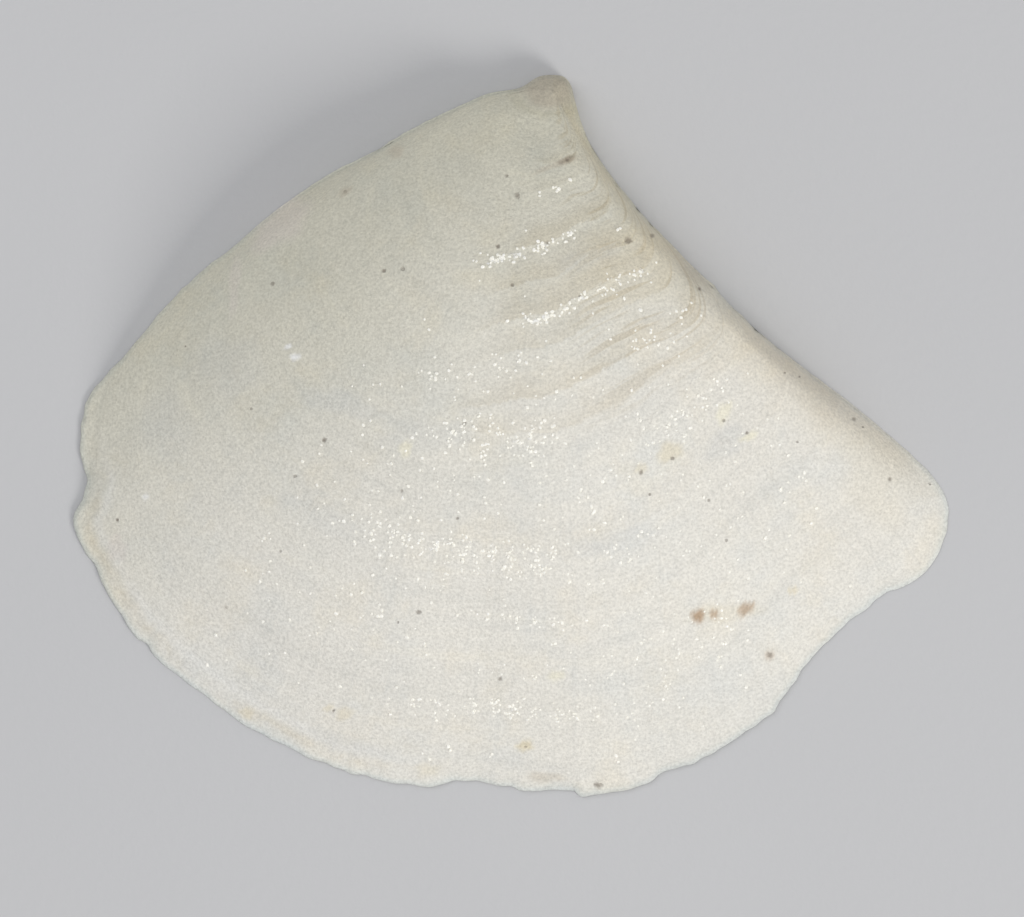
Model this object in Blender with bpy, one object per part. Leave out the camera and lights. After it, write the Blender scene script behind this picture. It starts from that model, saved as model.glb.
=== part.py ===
"""One valve of a minute three-cornered clam, lying on its rim with the hollow side down.

The valve grows from its beak.  Every earlier margin is a smaller copy of the present one,
turned a little in plan and lifted off the plane of the rim, so one rule places the whole
outer face.  X runs from the front end of the valve to the rear end, Y runs from the lower
edge up to the beak, and Z = 0 is the plane of the rim.
"""

import math

import bmesh
import bpy
import numpy as np
from mathutils import Vector
from mathutils.bvhtree import BVHTree

MM = 0.001

# Driving sizes, in millimetres.
BEAK_HEIGHT = 0.22           # height of the beak's knob above the rim plane
BEAK_REACH = 0.33            # distance over which the knob merges into the valve
BEAK_SPREAD = 0.10           # how softly the beak's top passes into its sides
RIM_WIDTH = 0.10             # flat of the rim along the lower edge
HINGE_WIDTH = 0.58           # how much wider the flat is under the beak
HINGE_REACH = 0.95           # distance from the beak over which that extra width fades
HINGE_ROUNDING = 0.20        # how far the hollow's edge is rounded off
SOCKET_DEPTH = 0.085         # depth of the pits in the hinge flat
TIP_RISE = 0.004             # height of the beak's tip above the youngest margin

# The rule of growth.
PLAN_COIL = 0.140            # turn in plan for each e-fold of size, in radians
LIFT_COIL = 0.63             # turn off the rim plane for each e-fold of size, in radians
YOUNGEST = 0.035             # size of the youngest margin, as a share of the present one
ROUNDING = 0.32              # how far young margins are rounded off, along the margin
ROUNDED_FROM = (0.35, 1.20)  # distances from the beak between which rounding sets in
ADULT_FROM = 0.80            # size from which the margin takes on its present corners

# The hollow, as shares of the outer height above it.
HOLLOW_SHARE = 0.77
HOLLOW_ROUNDNESS = 0.55
HOLLOW_CLOSING = 1.25        # how much closer its rings stand at its edge than at its middle

# The point that the valve grows from, and the middle of its hollow.
POLE = np.array((0.192, 1.572))
HOLLOW_CENTRE = np.array((0.02, 0.02))

# Points on the present margin, clockwise from the top of the beak.
MARGIN = (
    (0.185, 1.648), (0.245, 1.628), (0.286, 1.537), (0.352, 1.341),
    (0.485, 1.153), (0.632, 0.970), (0.825, 0.778), (0.966, 0.635),
    (1.222, 0.400), (1.483, 0.196), (1.698, 0.014), (1.925, -0.190),
    (2.000, -0.350), (1.967, -0.522), (1.838, -0.671), (1.703, -0.725),
    (1.529, -0.874), (1.354, -1.026), (1.217, -1.240), (0.957, -1.430),
    (0.659, -1.577), (0.362, -1.646), (0.041, -1.616), (-0.233, -1.581),
    (-0.416, -1.602), (-0.737, -1.542), (-1.140, -1.364), (-1.469, -1.153),
    (-1.735, -0.902), (-1.895, -0.613), (-2.000, -0.407), (-1.942, -0.224),
    (-1.977, -0.018), (-1.899, 0.216), (-1.579, 0.594), (-1.227, 0.900),
    (-0.796, 1.220), (-0.384, 1.436), (-0.096, 1.560), (0.037, 1.590),
    (0.124, 1.640),
)
BEAK_DETAIL = 2.5            # how much closer the points stand on the beak
BEAK_RADIUS = 0.25

# Ribs: size of the valve when each was at its crest, its height, and the share of that
# height that still shows on the worn front half.
RIBS = (
    (0.100, 0.010, 0.05),
    (0.160, 0.014, 0.05),
    (0.245, 0.020, 0.05),
    (0.340, 0.024, 0.10),
    (0.450, 0.026, 0.15),
    (0.540, 0.008, 0.60),
    (0.650, 0.011, 0.80),
    (0.760, 0.008, 0.80),
    (0.880, 0.010, 1.00),
    (0.950, 0.016, 1.00),
)
RIB_RISE = (0.110, 0.034)    # share of the crest's size over which a rib swells, and most
RIB_FALL = (0.045, 0.014)    # the same for its steeper side, towards the margin
RIB_ON_WALL = 0.35           # share of its height that a rib keeps on the steep upper walls
SMOOTH_BEAK = (0.06, 0.30)   # distances from the pole between which the ribs set in
RIBBED_REAR = (-35.0, 5.0)   # directions, from straight down towards the rear, between which
                             # the ribs reach their full height

# Pits and grooves in the hinge flat: each runs from a narrow end to a wide end.  The
# places are where its two ends are centred, and the radii are half its widths there.
SOCKETS = {
    "ligament_pit": ((0.235, 1.420), 0.022, (0.372, 1.120), 0.062),
    "tooth_socket": ((0.160, 1.400), 0.020, (0.090, 1.120), 0.072),
    "front_groove": ((-0.300, 1.270), 0.022, (-0.960, 0.880), 0.034),
    "rear_groove": ((0.560, 0.900), 0.022, (1.060, 0.395), 0.034),
}
SOCKET_MOUTH = 1.2           # share of those radii at the mouth of a cut, below the flat
SOCKET_FLOOR = 0.55          # the same at its floor
SOCKET_BELOW = 0.04          # how far below the flat a cut starts

SPOKES = 96                  # points round a full-grown margin
FEWER_SPOKES = ((0.10, 4), (0.24, 2))   # below each size, what the number is divided by
SECOND_RING = 0.06           # size of the first ring beyond the youngest
WIDEST_GAP = 0.045           # most between two ribs before a ring is set between them
LAST_RINGS = (0.985, 1.0)    # sizes of the rings beyond the last rib
NEARBY = 0.01                # share of its size to either side at which a ring's slope is read
FINE_STEPS = 24              # steps of the drawn curve between two of its points
EVEN_STEPS = 512             # even steps round a margin while its corners are rounded off
HOLLOW_RINGS = 10


def ease(value, start, end):
    """Return 0 before start, 1 after end, and a smooth rise between them."""
    share = np.clip((value - start) / (end - start), 0.0, 1.0)
    return share * share * (3.0 - 2.0 * share)


def from_pole(points):
    """Return the distance of each point from the point that the valve grows from."""
    return np.linalg.norm(points - POLE, axis=1)


def drawn_margin():
    """Return a fine smooth closed curve through the margin's points."""
    knots = np.array(MARGIN)
    curve = []
    for index, start in enumerate(knots):
        before = knots[index - 1]
        end = knots[(index + 1) % len(knots)]
        after = knots[(index + 2) % len(knots)]
        for t in np.arange(FINE_STEPS) / FINE_STEPS:
            curve.append(0.5 * (
                2.0 * start
                + (end - before) * t
                + (2.0 * before - 5.0 * start + 4.0 * end - after) * t ** 2
                + (3.0 * start - 3.0 * end + after - before) * t ** 3
            ))
    return np.array(curve)


def lengths_along(curve):
    """Return a closed curve with its first point repeated, and the length run at each point."""
    closed = np.vstack((curve, curve[:1]))
    steps = np.linalg.norm(np.diff(closed, axis=0), axis=1)
    return closed, np.concatenate(((0.0,), np.cumsum(steps)))


def spaced(curve, count):
    """Return points along a closed curve, evenly spaced but closer together on the beak."""
    closed, run = lengths_along(curve)
    middles = 0.5 * (closed[1:] + closed[:-1])
    density = 1.0 + BEAK_DETAIL * np.exp(-(from_pole(middles) / BEAK_RADIUS) ** 2)
    weight = np.concatenate(((0.0,), np.cumsum(np.diff(run) * density)))
    wanted = np.linspace(0.0, weight[-1], count, endpoint=False)
    return np.column_stack([np.interp(wanted, weight, closed[:, axis]) for axis in (0, 1)])


def softened(curve, rounding):
    """Return a closed curve with its corners rounded off, point for point."""
    closed, run = lengths_along(curve)
    even = np.linspace(0.0, run[-1], EVEN_STEPS, endpoint=False)
    waves = np.fft.fftfreq(EVEN_STEPS, even[1])
    fade = np.exp(-0.5 * (2.0 * math.pi * waves * rounding) ** 2)
    soft = np.empty_like(curve)
    for axis in (0, 1):
        wave = np.fft.fft(np.interp(even, run, closed[:, axis])) * fade
        soft[:, axis] = np.interp(run[:-1], even, np.fft.ifft(wave).real, period=run[-1])
    return soft


def rounded(margin, rounding):
    """Return a margin with its corners rounded off, apart from the beak."""
    share = ease(from_pole(margin), *ROUNDED_FROM)[:, None]
    return margin + share * (softened(margin, rounding) - margin)


def margin_at(size, count):
    """Return the plan of the margin at a size, before it is shrunk to that size."""
    present = spaced(drawn_margin(), count)
    young = rounded(present, ROUNDING)
    return young + ease(size, ADULT_FROM, 1.0) * (present - young)


def smooth_ring(margin, size):
    """Place a margin as it stood at a share of its present size, without ribs."""
    age = -math.log(size)
    turn = -PLAN_COIL * age
    arm = margin - POLE
    x = POLE[0] + size * (arm[:, 0] * math.cos(turn) - arm[:, 1] * math.sin(turn))
    y = POLE[1] + size * (arm[:, 0] * math.sin(turn) + arm[:, 1] * math.cos(turn))
    below_pole = 0.5 * (np.hypot(arm[:, 1], BEAK_SPREAD) - arm[:, 1])
    knob = BEAK_HEIGHT * (1.0 - size ** 3) * np.exp(-(size * from_pole(margin) / BEAK_REACH) ** 2)
    return np.column_stack((x, y, size * below_pole * math.sin(LIFT_COIL * age) + knob))


def rib_spread(crest, limits):
    """Return the size over which one side of a rib swells or falls."""
    share, most = limits
    return min(share * crest, most)


def rib_height(margin, size):
    """Return how far the ribs raise each point of a margin above the smooth face."""
    arm = margin - POLE
    rearward = np.degrees(np.arctan2(arm[:, 0], -arm[:, 1]))
    rear_share = ease(rearward, *RIBBED_REAR)
    height = np.zeros(len(margin))
    for crest, rib, front_share in RIBS:
        spread = rib_spread(crest, RIB_RISE if size < crest else RIB_FALL)
        swell = math.exp(-((size - crest) / spread) ** 2)
        height += swell * rib * (front_share + (1.0 - front_share) * rear_share)
    return height * ease(size * from_pole(margin), *SMOOTH_BEAK)


def ribbed_ring(margin, size):
    """Place a margin with its ribs raised along the face's normal."""
    here = smooth_ring(margin, size)
    if size >= 1.0:
        return here
    along = np.roll(here, -1, axis=0) - np.roll(here, 1, axis=0)
    beyond = smooth_ring(margin, min(1.0, size * (1.0 + NEARBY)))
    outward = beyond - smooth_ring(margin, size * (1.0 - NEARBY))
    normal = np.cross(along, outward)
    normal *= np.sign(np.sum(normal[:, 2])) / np.linalg.norm(normal, axis=1)[:, None]
    flatness = RIB_ON_WALL + (1.0 - RIB_ON_WALL) * np.clip(normal[:, 2], 0.0, 1.0)
    return here + normal * (flatness * rib_height(margin, size))[:, None]


def ring_sizes():
    """Return the sizes at which the outer face has a ring: each rib's start, top and foot."""
    sizes = [YOUNGEST, SECOND_RING]
    for crest, _, _ in RIBS:
        start = crest - rib_spread(crest, RIB_RISE)
        if start - sizes[-1] > WIDEST_GAP:
            sizes.append(0.5 * (sizes[-1] + start))
        sizes += [start, crest, crest + rib_spread(crest, RIB_FALL)]
    return sizes + list(LAST_RINGS)


def ring_count(size):
    """Return how many points a ring has: fewer near the beak, where rings are small."""
    for limit, share in FEWER_SPOKES:
        if size < limit:
            return SPOKES // share
    return SPOKES


def join_rings(mesh, inner, outer):
    """Fill between two closed rings, the outer one having the same or twice the points."""
    total = len(inner)
    for index in range(total):
        near, next_near = inner[index], inner[(index + 1) % total]
        if len(outer) == total:
            mesh.faces.new((near, next_near, outer[(index + 1) % total], outer[index]))
            continue
        first, middle = outer[2 * index], outer[2 * index + 1]
        last = outer[(2 * index + 2) % len(outer)]
        mesh.faces.new((near, middle, first))
        mesh.faces.new((near, next_near, middle))
        mesh.faces.new((next_near, last, middle))


def cap_ring(mesh, ring, middle):
    """Close a ring with a fan of triangles to a point."""
    centre = mesh.verts.new(middle)
    for index, vertex in enumerate(ring):
        mesh.faces.new((centre, vertex, ring[(index + 1) % len(ring)]))


def add_ring(mesh, points):
    """Add a closed ring of vertices."""
    return [mesh.verts.new(point) for point in points]


def outer_face(mesh, place_ring):
    """Build the outer face from the beak to the rim, and return the rim."""
    previous = None
    for size in ring_sizes():
        ring = add_ring(mesh, place_ring(margin_at(size, ring_count(size)), size))
        if previous is None:
            top = sum((vertex.co for vertex in ring), Vector()) / len(ring)
            cap_ring(mesh, ring, (top.x, top.y, top.z + TIP_RISE))
        else:
            join_rings(mesh, previous, ring)
        previous = ring
    return previous


def hollow_edge(margin):
    """Return the inner edge of the flat rim, which widens to the hinge under the beak."""
    arm = margin - HOLLOW_CENTRE
    reach = np.linalg.norm(arm, axis=1)
    width = RIM_WIDTH + HINGE_WIDTH * np.exp(-(from_pole(margin) / HINGE_REACH) ** 2)
    return softened(HOLLOW_CENTRE + arm * (1.0 - width / reach)[:, None], HINGE_ROUNDING)


def height_finder():
    """Return a function that gives the height of the smooth outer face over a point."""
    mesh = bmesh.new()
    outer_face(mesh, smooth_ring)
    tree = BVHTree.FromBMesh(mesh)
    mesh.free()

    def height(x, y):
        return tree.ray_cast(Vector((x, y, -1.0)), Vector((0.0, 0.0, 1.0)))[0].z

    return height


def hollow_face(mesh, rim):
    """Build the flat rim and the hollow inside it."""
    edge = hollow_edge(margin_at(1.0, SPOKES))
    height = height_finder()
    previous = rim
    for step in range(HOLLOW_RINGS):
        share = 1.0 - (step / HOLLOW_RINGS) ** HOLLOW_CLOSING
        hollow = HOLLOW_SHARE * (1.0 - share ** 2) ** HOLLOW_ROUNDNESS
        plan = HOLLOW_CENTRE + share * (edge - HOLLOW_CENTRE)
        ring = add_ring(mesh, [(x, y, hollow * height(x, y)) for x, y in plan])
        join_rings(mesh, previous, ring)
        previous = ring
    x, y = HOLLOW_CENTRE
    cap_ring(mesh, previous, (x, y, HOLLOW_SHARE * height(x, y)))


def finished(mesh, name):
    """Turn a millimetre bmesh into an object's mesh in metres, its faces pointing out."""
    bmesh.ops.recalc_face_normals(mesh, faces=mesh.faces[:])
    bmesh.ops.scale(mesh, vec=(MM, MM, MM), verts=mesh.verts[:])
    data = bpy.data.meshes.new(name)
    mesh.to_mesh(data)
    mesh.free()
    item = bpy.data.objects.new(name, data)
    bpy.context.scene.collection.objects.link(item)
    return item


def build_valve():
    """Build the valve as one closed solid."""
    mesh = bmesh.new()
    hollow_face(mesh, outer_face(mesh, ribbed_ring))
    bmesh.ops.triangulate(mesh, faces=mesh.faces[:])
    return finished(mesh, "left_valve")


def tapered_slot(narrow, narrow_radius, wide, wide_radius, shrink):
    """Return the plan of a slot with round ends, one wider than the other."""
    narrow, wide = np.array(narrow), np.array(wide)
    heading = math.atan2(*(wide - narrow)[::-1])
    plan = []
    for centre, radius, start in ((narrow, narrow_radius, 90.0), (wide, wide_radius, -90.0)):
        for degrees in (0.0, 45.0, 90.0, 135.0, 180.0):
            angle = heading + math.radians(start + degrees)
            plan.append(centre + shrink * radius * np.array((math.cos(angle), math.sin(angle))))
    return plan


def cut_socket(valve, name, narrow, narrow_radius, wide, wide_radius):
    """Cut one pit into the hinge flat, with sloping walls."""
    mesh = bmesh.new()
    rings = []
    for height, shrink in ((-SOCKET_BELOW, SOCKET_MOUTH), (SOCKET_DEPTH, SOCKET_FLOOR)):
        plan = tapered_slot(narrow, narrow_radius, wide, wide_radius, shrink)
        rings.append(add_ring(mesh, [(x, y, height) for x, y in plan]))
    join_rings(mesh, *rings)
    for ring in rings:
        mesh.faces.new(ring)
    cutter = finished(mesh, name)
    cutter.hide_render = True
    cutter.display_type = "WIRE"
    cut = valve.modifiers.new(name, "BOOLEAN")
    cut.object = cutter
    cut.operation = "DIFFERENCE"
    cut.solver = "EXACT"


def chalk():
    """Return the material of a worn, chalky white shell."""
    material = bpy.data.materials.new("chalky_shell")
    material.use_nodes = True
    shader = material.node_tree.nodes["Principled BSDF"]
    shader.inputs["Base Color"].default_value = (0.74, 0.71, 0.62, 1.0)
    shader.inputs["Roughness"].default_value = 0.62
    shader.inputs["Metallic"].default_value = 0.0
    return material


def build():
    """Clear the scene and build the valve."""
    for item in list(bpy.data.objects):
        bpy.data.objects.remove(item, do_unlink=True)
    valve = build_valve()
    valve.data.materials.append(chalk())
    valve.data.shade_smooth()
    for name, shape in SOCKETS.items():
        cut_socket(valve, name, *shape)


build()
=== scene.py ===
"""The looks of one worn valve of a minute three-cornered clam, seen from straight above.

Sizes are in millimetres unless a name says otherwise.  X runs from the front end of the
valve to the rear end, Y from the lower edge up to the beak, and Z = 0 is the plane of the
rim, on which the valve lies.  Places on it are written in pixels of the picture that it is
seen in, and turned into millimetres with the length of the valve.
"""

import math
from functools import reduce

import bmesh
import bpy
import numpy as np
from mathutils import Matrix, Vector


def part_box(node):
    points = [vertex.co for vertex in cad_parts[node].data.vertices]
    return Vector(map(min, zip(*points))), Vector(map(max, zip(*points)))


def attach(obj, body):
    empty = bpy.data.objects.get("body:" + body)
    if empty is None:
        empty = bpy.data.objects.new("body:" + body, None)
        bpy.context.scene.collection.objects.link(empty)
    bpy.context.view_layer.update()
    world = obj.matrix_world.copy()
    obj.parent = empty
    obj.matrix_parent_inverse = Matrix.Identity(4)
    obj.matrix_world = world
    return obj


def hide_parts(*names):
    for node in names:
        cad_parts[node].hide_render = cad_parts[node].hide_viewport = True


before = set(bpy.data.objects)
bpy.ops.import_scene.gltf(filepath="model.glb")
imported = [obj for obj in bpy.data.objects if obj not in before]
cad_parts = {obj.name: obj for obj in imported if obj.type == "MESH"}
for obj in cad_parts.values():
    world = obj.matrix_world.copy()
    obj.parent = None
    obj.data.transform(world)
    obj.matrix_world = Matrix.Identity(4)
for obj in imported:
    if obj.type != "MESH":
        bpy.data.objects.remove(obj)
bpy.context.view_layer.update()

MM = 0.001
MICROMETRE = 0.000001
UP = (0.0, 0.0, 1.0)
IN_PLAN = (1.0, 1.0, 0.0)    # a place times this is the place straight below it in the rim plane

# The picture, in pixels, and where the valve lies in it.
PICTURE_SIZE = (1024, 917)
VALVE_MIDDLE = (511.0, 436.0)
VALVE_LENGTH = 874.0
LENS = 400.0                 # focal length of the camera, for a film 36 mm wide
FILM = 36.0

# The present outline, clockwise from the top of the beak, in pixels.
OUTLINE = (
    (552, 75), (564, 77), (571, 86), (575, 101), (581, 122), (591, 146), (604, 166), (619, 186),
    (629, 198), (641, 213), (653, 226), (675, 248), (693, 267), (708, 280), (716, 288), (721, 295),
    (728, 303), (742, 316), (755, 329), (778, 348), (805, 369), (836, 392), (858, 409), (883, 430),
    (916, 459), (934, 478), (943, 492), (948, 506), (948, 522), (944, 539), (937, 556), (927, 570),
    (911, 583), (897, 589), (887, 592), (877, 599), (868, 608), (854, 617), (843, 627), (831, 638),
    (820, 649), (808, 662), (801, 671), (795, 682), (784, 695), (777, 707), (771, 714), (741, 735),
    (718, 750), (691, 764), (663, 772), (652, 781), (640, 786), (622, 791), (599, 794), (581, 797),
    (574, 791), (558, 790), (523, 791), (512, 787), (496, 785), (475, 781), (454, 781), (440, 785),
    (428, 787), (405, 784), (385, 782), (371, 777), (350, 773), (330, 765), (307, 757), (284, 745),
    (261, 734), (238, 721), (216, 704), (197, 690), (173, 672), (157, 659), (146, 644), (139, 639),
    (130, 631), (123, 617), (111, 600), (102, 582), (95, 566), (86, 553), (78, 539), (74, 526),
    (74, 514), (82, 500), (87, 481), (84, 468), (80, 452), (81, 433), (83, 415), (91, 393),
    (110, 371), (132, 347), (166, 306), (203, 270), (232, 248), (259, 224), (283, 205), (315, 183),
    (338, 169), (379, 149), (392, 140), (427, 121), (468, 102), (490, 93), (519, 88), (538, 77),
)

# The rule of growth, as in the solid valve.
POLE = (0.192, 1.572)        # the point that the valve grows from
POLE_PLACE = (*POLE, 0.0)
BEAK_WIDENING = 0.8          # how much wider the shoulder is round the beak
BEAK_TIP = 0.05              # how blunt the very tip is
BEAK_ARM = 3.15              # reach of the present margin straight below the pole
BEAK_BLEND = (0.14, 0.42)    # distances from the pole between which the beak's dome ends
HOLLOW_CENTRE = (0.02, 0.02)
ROUNDED_FROM = (0.35, 1.20)  # distances from the pole between which rounding sets in
YOUNG_ROUNDING = 0.22        # how far a young margin is rounded off
ADULT_ROUNDING = 0.14        # how far a nearly full-grown one is
ADULT_SIZES = (0.78, 0.98)   # sizes between which it takes on its adult corners
PRESENT_SIZES = (0.970, 0.998)   # sizes between which it takes on its present chips
RIM_WIDTH = 0.10             # flat of the rim along the lower edge
HINGE_WIDTH = 0.58           # how much wider the flat is under the beak
HINGE_REACH = 0.95           # distance from the beak over which that extra width fades
HINGE_ROUNDING = 0.20        # how far the hollow's edge is rounded off
GROWTH = {
    "Plan coil": 0.140,      # turn in plan for each e-fold of size, in radians
    "Most plan turn": 4.000,     # what that turn nears, in radians, where the valve was tiny
    "Lift coil": 0.63,       # turn off the rim plane for each e-fold of size, in radians
    "Beak height": 0.20,
    "Beak reach": 0.33,      # distance from the pole over which that height falls off
    "Beak spread": 0.10,     # how softly the back starts to rise below the pole
    "Beak softness": 0.30,   # distance from the pole over which the beak is rounded off
    "Shoulder width": 0.09,  # of the rounding along the upper edges
    "Least shoulder": 0.10,  # share of the height that the very edge keeps there
    "Rib height": 1.3,       # share of the heights in RIBS
    "Growth line height": 0.0011,
    "Swelling height": 0.005,
    "Lip height": 0.012,     # step up from the rim to the outer face
    "Lip width": 0.0035,     # as a share of the present size
    "Hollow share": 0.77,    # height of the hollow, as a share of the outer height over it
    "Hollow roundness": 0.55,    # power of its dome: 0.5 would make it an ellipse
    "Socket depth": 0.085,
    "Scar depth": 0.008,
}
YOUNGEST = 0.001             # smallest size that the rule is followed down to
LEAST_REACH = 0.002          # smallest distance from the pole that it is followed down to
BEAK_FADING = 3.0            # power of the size by which the beak's height fades with growth
PRESENT = 0.99999            # size from which a point belongs to the present margin

# Where parts of the outer face begin and end.
LIP_FROM = (0.2, 0.6)        # distances from the pole between which the lip sets in
UPPER_BEAK = (0.2, 0.6)      # distances from the pole between which the beak ends
UPPER_REAR = (18.0, 34.0)    # directions between which the rear upper edge begins, in degrees
UPPER_FRONT = (52.0, 72.0)   # the same for the front upper edge, towards the front
WIDE_SHOULDER = (0.10, 0.50)     # distances from the pole between which the wide shoulder ends
SINGLE_BEAK = (0.985, 0.998)     # sizes between which the beak's one height ends
SOFT_BEAK = (0.3, 3.0)       # shares of the beak's softness between which the smoothing ends
SOFT_EDGE = (0.03, 0.16)     # distances inland between which it ends along the upper edges
SOFT_SIZES = (0.80, 0.998)   # sizes between which it ends towards the outline
PLAIN_LIP = 0.012            # how much smaller than the present size the relief is at its full
RELIEF_INLAND = (0.008, 0.030)   # distances inland between which all relief sets in
RIBS_INLAND = (0.02, 0.15)   # distances inland between which ribs reach their full height
RIBS_AT_EDGE = 0.25          # share of their height that they have before it
GRAINS_INLAND = (0.05, 0.16)     # distances inland between which the grains set in

# Ribs: stage of growth at each crest, its height, the share of that height that still shows
# on the worn front half, and how strongly its long side is tinted: partly browner, partly painted
# shade.
RIBS = (
    (0.110, 0.0030, 0.0, 0.7),
    (0.149, 0.0036, 0.0, 0.5),
    (0.224, 0.0056, 0.0, 1.0),
    (0.276, 0.0024, 0.0, 0.8),
    (0.324, 0.0060, 0.0, 0.9),
    (0.372, 0.0020, 0.0, 0.6),
    (0.443, 0.0042, 0.0, 0.7),
    (0.492, 0.0018, 0.1, 0.5),
    (0.545, 0.0018, 0.4, 0.2),
    (0.655, 0.0026, 0.6, 0.3),
    (0.750, 0.0018, 0.6, 0.2),
    (0.885, 0.0024, 0.7, 0.2),
    (0.957, 0.0034, 0.6, 0.1),
)
RIB_RISE = (0.140, 0.045)    # share of the crest's stage over which a rib swells, and most
RIB_FALL = (0.024, 0.008)    # the same for its steeper side, towards the margin
RIB_ON_WALL = 0.35           # share of its height that a rib keeps on the steep upper walls
SMOOTH_BEAK = (0.10, 0.30)   # distances from the pole between which the ribs set in
RIBBED_REAR = (-24.0, -6.0)  # directions between which the ribs reach their full height

# Frosted rows of white grains, with painted glints where the lights would glint off them: stage of
# growth, width, directions between which they show, strength.
FROST_AND_GLINT_ROWS = (
    (0.153, 0.005, -16.0, 14.0, 0.50),
    (0.230, 0.008, -27.0, 14.0, 1.00),
    (0.330, 0.008, -13.0, 31.0, 1.00),
    (0.385, 0.015, -27.0, -2.0, 0.50),
    (0.435, 0.014, 14.0, 34.0, 0.45),
    (0.500, 0.032, -22.0, 2.0, 0.50),
    (0.560, 0.018, 14.0, 33.0, 0.36),
    (0.668, 0.022, -26.0, 3.0, 0.60),
    (0.757, 0.007, -10.0, 5.0, 0.50),
    (0.838, 0.006, -9.0, 1.0, 0.40),
    (0.888, 0.011, -14.0, 5.0, 0.60),
    (0.860, 0.060, 3.0, 22.0, 0.12),
    (0.620, 0.240, -36.0, 36.0, 0.060),
)
ROW_END = 4.0                # degrees over which a row fades at either end
GRAINS = {
    "Density": 7600.0,       # of grains in a square millimetre where a row is strongest
    "Columns": 199.0,        # frosted columns in a full turn round the pole, as if there were one
    "Column share": 0.85,    # how much of a row's strength follows the columns
    "Least size": 0.0056,
    "Most size": 0.0104,
}
SMALL_GRAINS = 1.7           # power that makes small grains commoner than large ones
GRAIN_SHAPES = ((0.8, 0.8, 0.35), (1.3, 1.0, 0.60))   # least and most stretch, flat on the valve
GRAIN_TURNS = ((-0.4, -0.4, 0.0), (0.4, 0.4, 6.283))  # least and most turn, in radians

# Pits and grooves in the hinge flat: narrow end and its radius, wide end and its radius.
SOCKETS = (
    ((0.235, 1.420), 0.022, (0.372, 1.120), 0.062),
    ((0.160, 1.400), 0.020, (0.090, 1.120), 0.072),
    ((-0.300, 1.270), 0.022, (-0.960, 0.880), 0.034),
    ((0.560, 0.900), 0.022, (1.060, 0.395), 0.034),
)
# Scars of the two closing muscles inside: middle and half-widths.
SCARS = (
    ((-1.33, 0.22), (0.20, 0.28)),
    ((1.25, 0.02), (0.22, 0.22)),
)
SOCKET_WALL = (0.45, 1.15)   # radii of a pit between which its wall stands
SCAR_EDGE = (0.85, 1.00)     # half-widths of a scar between which its edge lies
MANTLE_LINE = (0.83, 0.012)  # place of the mantle's line, out from the middle, and its width
MANTLE_SHARE = 0.6           # how strongly that line shows, next to a scar

# Colours of the surface under white light, from 0 to 1.
CHALK = (0.835, 0.808, 0.735)
# Greyer towards the beak: partly the umbo's own colour, partly painted shade.
UMBO_GREY_AND_SHADE = (0.665, 0.640, 0.515)
BEAK_TAN = (0.520, 0.470, 0.370)
FROST_WHITE = (0.960, 0.955, 0.925)
# Dark colour of the pits: partly brown stain, partly painted shade in the hollows.
PIT_BROWN_AND_SHADE = (0.200, 0.160, 0.125)
RUST = (0.400, 0.235, 0.110)
EARTH = (0.520, 0.440, 0.330)
OCHRE = (0.780, 0.660, 0.400)
CREAM = (0.880, 0.840, 0.680)
SLATE = (0.560, 0.590, 0.610)
ROSE = (0.760, 0.680, 0.620)
INNER_WHITE = (0.800, 0.780, 0.730)
INNER_GREY = (0.640, 0.640, 0.620)
FLOOR_GREY = (0.600, 0.600, 0.605)

# What a colour is multiplied by where each of these shows in full.
TINTS = {
    "cool clouds": (0.955, 0.972, 0.995),
    "warm clouds": (1.008, 0.990, 0.955),
    "dark bands": (0.945, 0.950, 0.955),
    "pale bands": (1.035, 1.030, 1.015),
    "threads": (0.966, 0.970, 0.974),
    "rear edge": (0.990, 0.955, 0.885),
    # Long sides of the ribs: partly browner, partly painted shade.
    "browned and shaded rib sides": (0.935, 0.908, 0.860),
    # Creases: painted shade in the grooves of the fine ribs, partly browner lines.
    "shaded_brown_creases": (0.880, 0.850, 0.800),
    "thin margin": (0.955, 0.975, 0.980),
    "last band": (0.950, 0.920, 0.865),
    "beak crescent": (0.930, 0.920, 0.890),
    "fringe": (0.930, 0.960, 0.990),
    "muscle scars": (0.930, 0.920, 0.880),
    "flat rim": (1.000, 0.985, 0.930),
    "hinge pits": (0.900, 0.850, 0.740),
}

# Pits in the outer face, in pixels of the picture: place and radius.
PITS = (
    (507, 178, 2.4), (517, 198, 3.4), (567, 162, 3.0), (498, 249, 2.6), (547, 245, 2.4),
    (512, 287, 2.4), (579, 298, 2.0), (385, 273, 2.6), (404, 271, 2.4), (275, 285, 2.6),
    (326, 440, 3.4), (465, 424, 2.4), (403, 490, 2.4), (458, 518, 2.0),
    (297, 476, 1.8), (253, 409, 1.8), (187, 347, 1.8), (227, 607, 2.8), (419, 611, 3.2),
    (399, 621, 1.6), (334, 710, 2.0), (500, 678, 2.6), (671, 458, 2.8), (640, 472, 3.2),
    (648, 494, 1.8), (722, 421, 2.4), (745, 433, 2.0), (795, 442, 1.8), (707, 500, 1.8),
    (725, 540, 1.8), (889, 479, 2.8), (930, 484, 1.8), (627, 243, 5.0),
    (598, 785, 5.5), (769, 655, 3.6), (525, 746, 2.4), (282, 551, 1.8), (118, 520, 1.8),
)

# Pits close to the upper edges, where the mesh's points stand too far apart to carry them.
EDGE_PITS = (
    (346, 193, 2.6), (651, 237, 3.2), (698, 290, 2.4), (853, 419, 3.2), (862, 427, 1.4),
    (783, 373, 1.7), (798, 377, 1.6),
)
PIT_EDGE = (0.15, 1.05)      # radii of a pit between which its edge lies

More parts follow.
